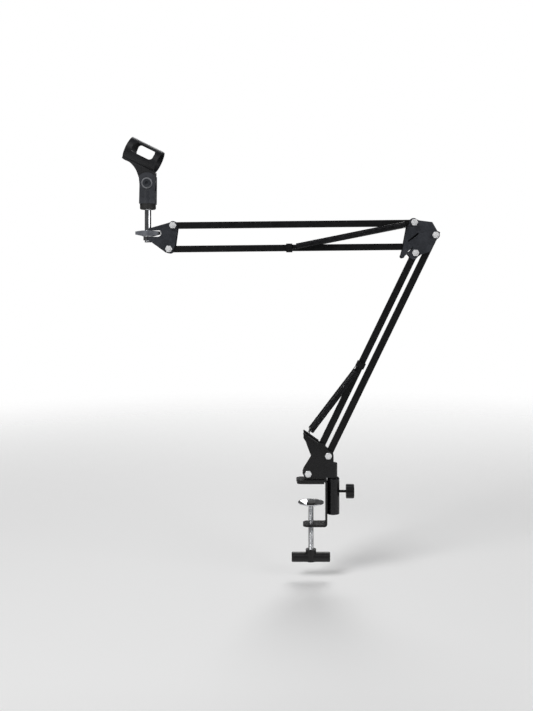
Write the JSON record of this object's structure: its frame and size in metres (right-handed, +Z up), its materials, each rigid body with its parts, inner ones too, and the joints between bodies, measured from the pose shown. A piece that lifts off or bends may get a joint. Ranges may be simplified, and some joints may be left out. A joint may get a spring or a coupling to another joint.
{
  "type": "microphone boom arm",
  "caption": "Desk-clamped spring-balanced boom arm with parallel square tubes, an elbow bracket, a swivelling rod and a tilting microphone clip.",
  "frame": {"origin": "on the underside of the rubber jaw pad, where the clamp screw's axis meets the desk's top face", "axes": "+Z up along the clamp screw, +X towards the clamp's back plate and the elbow side, +Y to the rear, along the arm's pivot bolts"},
  "size_m": [0.4705, 0.0399, 0.6304],
  "materials": {
    "clamp_black": "black gloss paint",
    "tube_black": "black powder coat, semi-gloss",
    "plate_enamel": "blue-black semi-gloss enamel",
    "bright_zinc": "bright zinc plate",
    "bright_chrome": "polished chrome plate",
    "spring_steel": "black oxide spring wire",
    "pad_rubber": "matte moulded rubber",
    "dark_nylon": "moulded nylon",
    "handle_plastic": "satin moulded plastic",
    "clip_plastic": "fine-grained moulded plastic"
  },
  "bodies": {
    "clamp": {"clamp_frame": "clamp_black", "post_socket": "clamp_black", "jaw_pad": "pad_rubber"},
    "dish": {"pressure_dish": "bright_chrome", "dish_cap": "pad_rubber"},
    "screw": {"clamp_screw": "bright_chrome", "screw_handle": "handle_plastic"},
    "lock_tip": {"lock_tip": "dark_nylon"},
    "lock_knob": {"post_lock_screw": "tube_black", "post_lock_knob": "handle_plastic"},
    "base": {"swivel_post": "clamp_black", "base_plate_front": "clamp_black", "base_plate_rear": "clamp_black", "base_bolts": "bright_zinc", "base_nuts": "bright_zinc", "base_washers": "dark_nylon"},
    "lower_main": {"lower_main_tube": "tube_black", "lower_main_inserts": "dark_nylon"},
    "lower_link": {"lower_link_tube": "tube_black", "lower_link_inserts": "dark_nylon", "lower_spring_saddle": "tube_black", "lower_spring_pin": "tube_black", "lower_spring_front": "spring_steel", "lower_spring_rear": "spring_steel"},
    "elbow": {"elbow_plate_front": "plate_enamel", "elbow_plate_rear": "plate_enamel", "elbow_bolts": "bright_zinc", "elbow_nuts": "bright_zinc", "elbow_washers": "dark_nylon", "spring_bolt": "bright_zinc", "spring_bolt_sleeves": "dark_nylon", "spring_bolt_nut": "bright_zinc", "elbow_rivet": "plate_enamel"},
    "upper_main": {"upper_main_tube": "tube_black", "upper_main_inserts": "dark_nylon"},
    "upper_link": {"upper_link_tube": "tube_black", "upper_link_inserts": "dark_nylon", "upper_spring_saddle": "tube_black", "upper_spring_pin": "tube_black", "upper_spring_front": "spring_steel", "upper_spring_rear": "spring_steel"},
    "end": {"end_plate_front": "plate_enamel", "end_plate_rear": "plate_enamel", "rod_bush": "bright_chrome", "end_bolts": "bright_zinc", "end_nuts": "bright_zinc"},
    "rod_washer": {"rod_washer": "bright_zinc"},
    "wing_nut": {"wing_nut": "handle_plastic"},
    "mic_rod": {"mic_rod": "bright_chrome", "thread_adapter": "bright_zinc", "socket_ring": "pad_rubber", "clip_socket": "clip_plastic", "clip_pivot_ring": "bright_zinc", "clip_pivot_screw": "plate_enamel", "clip_pivot_nut": "bright_zinc"},
    "clip": {"clip_body": "clip_plastic"}
  },
  "joints": [
    {"name": "dish_slide", "type": "slide", "parent": "clamp", "child": "dish", "axis": [0, 0, 1], "range_m": [-0.02001, 0.02751]},
    {"name": "screw_turn", "type": "hinge", "parent": "dish", "child": "screw", "pos_m": [0, 0, -0.06], "axis": [0, 0, 1], "range_deg": [-5760, 7920]},
    {"name": "lock_slide", "type": "slide", "parent": "clamp", "child": "lock_tip", "axis": [1, 0, 0], "range_m": [-0.00027, 0.00211]},
    {"name": "lock_turn", "type": "hinge", "parent": "lock_tip", "child": "lock_knob", "pos_m": [0.0532, 0, -0.013], "axis": [1, 0, 0], "range_deg": [-135, 1080]},
    {"name": "base_swivel", "type": "hinge", "parent": "clamp", "child": "base", "pos_m": [0.0332, 0, 0], "axis": [0, 0, 1], "continuous": true},
    {"name": "lower_arm_tilt", "type": "hinge", "parent": "base", "child": "lower_main", "pos_m": [0.02584, 0, 0.04099], "axis": [0, 1, 0], "range_deg": [-60, 4]},
    {"name": "lower_link_tilt", "type": "hinge", "parent": "base", "child": "lower_link", "pos_m": [-0.004, 0, 0.0145], "axis": [0, 1, 0], "range_deg": [-60, 4], "deforming": ["lower_spring_front", "lower_spring_rear"]},
    {"name": "elbow_level", "type": "hinge", "parent": "lower_main", "child": "elbow", "pos_m": [0.18413, 0, 0.36699], "axis": [0, 1, 0], "range_deg": [-4, 60]},
    {"name": "upper_arm_tilt", "type": "hinge", "parent": "elbow", "child": "upper_main", "pos_m": [0.15163, 0, 0.38509], "axis": [0, 1, 0], "range_deg": [-45, 70]},
    {"name": "upper_link_tilt", "type": "hinge", "parent": "elbow", "child": "upper_link", "pos_m": [0.14584, 0, 0.35007], "axis": [0, 1, 0], "range_deg": [-45, 70], "deforming": ["upper_spring_front", "upper_spring_rear"]},
    {"name": "end_level", "type": "hinge", "parent": "upper_main", "child": "end", "pos_m": [-0.20385, 0, 0.38137], "axis": [0, 1, 0], "range_deg": [-70, 45]},
    {"name": "washer_slide", "type": "slide", "parent": "end", "child": "rod_washer", "axis": [0, 0, 1], "range_m": [-0.00031, 0.000671]},
    {"name": "wing_nut_turn", "type": "hinge", "parent": "rod_washer", "child": "wing_nut", "pos_m": [-0.24205, 0, 0.36857], "axis": [0, 0, 1], "range_deg": [-68, 150]},
    {"name": "mic_swivel", "type": "hinge", "parent": "end", "child": "mic_rod", "pos_m": [-0.24205, 0, 0.35957], "axis": [0, 0, 1], "continuous": true},
    {"name": "clip_tilt", "type": "hinge", "parent": "mic_rod", "child": "clip", "pos_m": [-0.24155, 0, 0.44347], "axis": [0, 1, 0], "range_deg": [-35, 45]}
  ],
  "couplings": [
    {"joint": "dish_slide", "follows": "screw_turn", "m_per_rad": 0.00019894},
    {"joint": "lock_slide", "follows": "lock_turn", "m_per_rad": 0.00011141},
    {"joint": "lower_link_tilt", "follows": "lower_arm_tilt", "ratio": 1},
    {"joint": "elbow_level", "follows": "lower_arm_tilt", "ratio": -1},
    {"joint": "upper_link_tilt", "follows": "upper_arm_tilt", "ratio": 1},
    {"joint": "end_level", "follows": "upper_arm_tilt", "ratio": -1},
    {"joint": "washer_slide", "follows": "wing_nut_turn", "m_per_rad": 0.00025266}
  ]
}
